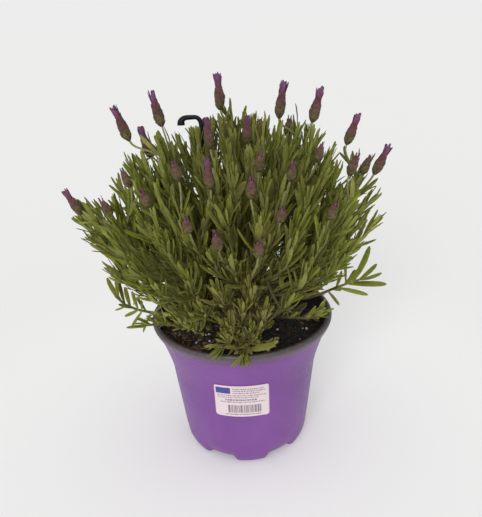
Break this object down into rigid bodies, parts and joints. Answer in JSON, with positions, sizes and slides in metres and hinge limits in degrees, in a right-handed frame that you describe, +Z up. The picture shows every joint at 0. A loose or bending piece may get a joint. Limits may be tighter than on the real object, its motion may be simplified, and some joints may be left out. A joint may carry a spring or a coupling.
{
  "type": "potted lavender",
  "caption": "Bushy tufted lavender with upright flower spikes on bare stalks, growing from a woody crown in a tapered plastic nursery pot of soil with a curved sticker and a crook-headed stake.",
  "frame": {"origin": "centre of the pot's flat base, on the surface that the pot stands on", "axes": "+Z up along the pot's axis, -Y towards the side of the pot with the sticker, +X to the right seen from there"},
  "size_m": [0.2376, 0.214, 0.2878],
  "materials": {
    "pot_plastic": "satin purple outside, dark grey rim and black inside",
    "sticker_paper": "white coated paper",
    "potting_soil": "damp crumbly potting soil",
    "stake_plastic": "black moulded plastic",
    "woody_stem": "grey-brown bark",
    "leaf": "matt felted green",
    "flower_head": "dull purple and olive-brown bracts"
  },
  "bodies": {
    "root": {"pot": "pot_plastic", "pot_sticker": "sticker_paper", "soil": "potting_soil", "crook_stake": "stake_plastic", "woody_crown": "woody_stem", "leafy_shoot_01": "leaf", "leafy_shoot_02": "leaf", "leafy_shoot_03": "leaf", "leafy_shoot_04": "leaf", "leafy_shoot_05": "leaf", "leafy_shoot_06": "leaf", "leafy_shoot_07": "leaf", "leafy_shoot_08": "leaf", "leafy_shoot_09": "leaf", "leafy_shoot_10": "leaf", "leafy_shoot_11": "leaf", "leafy_shoot_12": "leaf", "leafy_shoot_13": "leaf", "leafy_shoot_14": "leaf", "leafy_shoot_15": "leaf", "leafy_shoot_16": "leaf", "leafy_shoot_17": "leaf", "leafy_shoot_18": "leaf", "leafy_shoot_19": "leaf", "leafy_shoot_20": "leaf", "flower_head_01": "flower_head", "flower_head_02": "flower_head", "flower_head_03": "flower_head", "flower_head_04": "flower_head", "flower_head_05": "flower_head", "flower_head_06": "flower_head", "flower_head_07": "flower_head", "flower_head_08": "flower_head", "flower_head_09": "flower_head", "flower_head_10": "flower_head", "flower_head_11": "flower_head", "flower_head_12": "flower_head", "flower_head_13": "flower_head", "flower_head_14": "flower_head", "flower_head_15": "flower_head", "flower_head_16": "flower_head", "flower_head_17": "flower_head", "flower_head_18": "flower_head", "flower_head_19": "flower_head", "flower_head_20": "flower_head", "flower_head_21": "flower_head", "flower_head_22": "flower_head", "flower_head_23": "flower_head", "flower_head_24": "flower_head", "flower_head_25": "flower_head", "flower_head_26": "flower_head", "flower_head_27": "flower_head", "flower_head_28": "flower_head", "flower_head_29": "flower_head", "flower_head_30": "flower_head", "flower_head_31": "flower_head", "flower_head_32": "flower_head", "flower_head_33": "flower_head"}
  },
  "joints": []
}
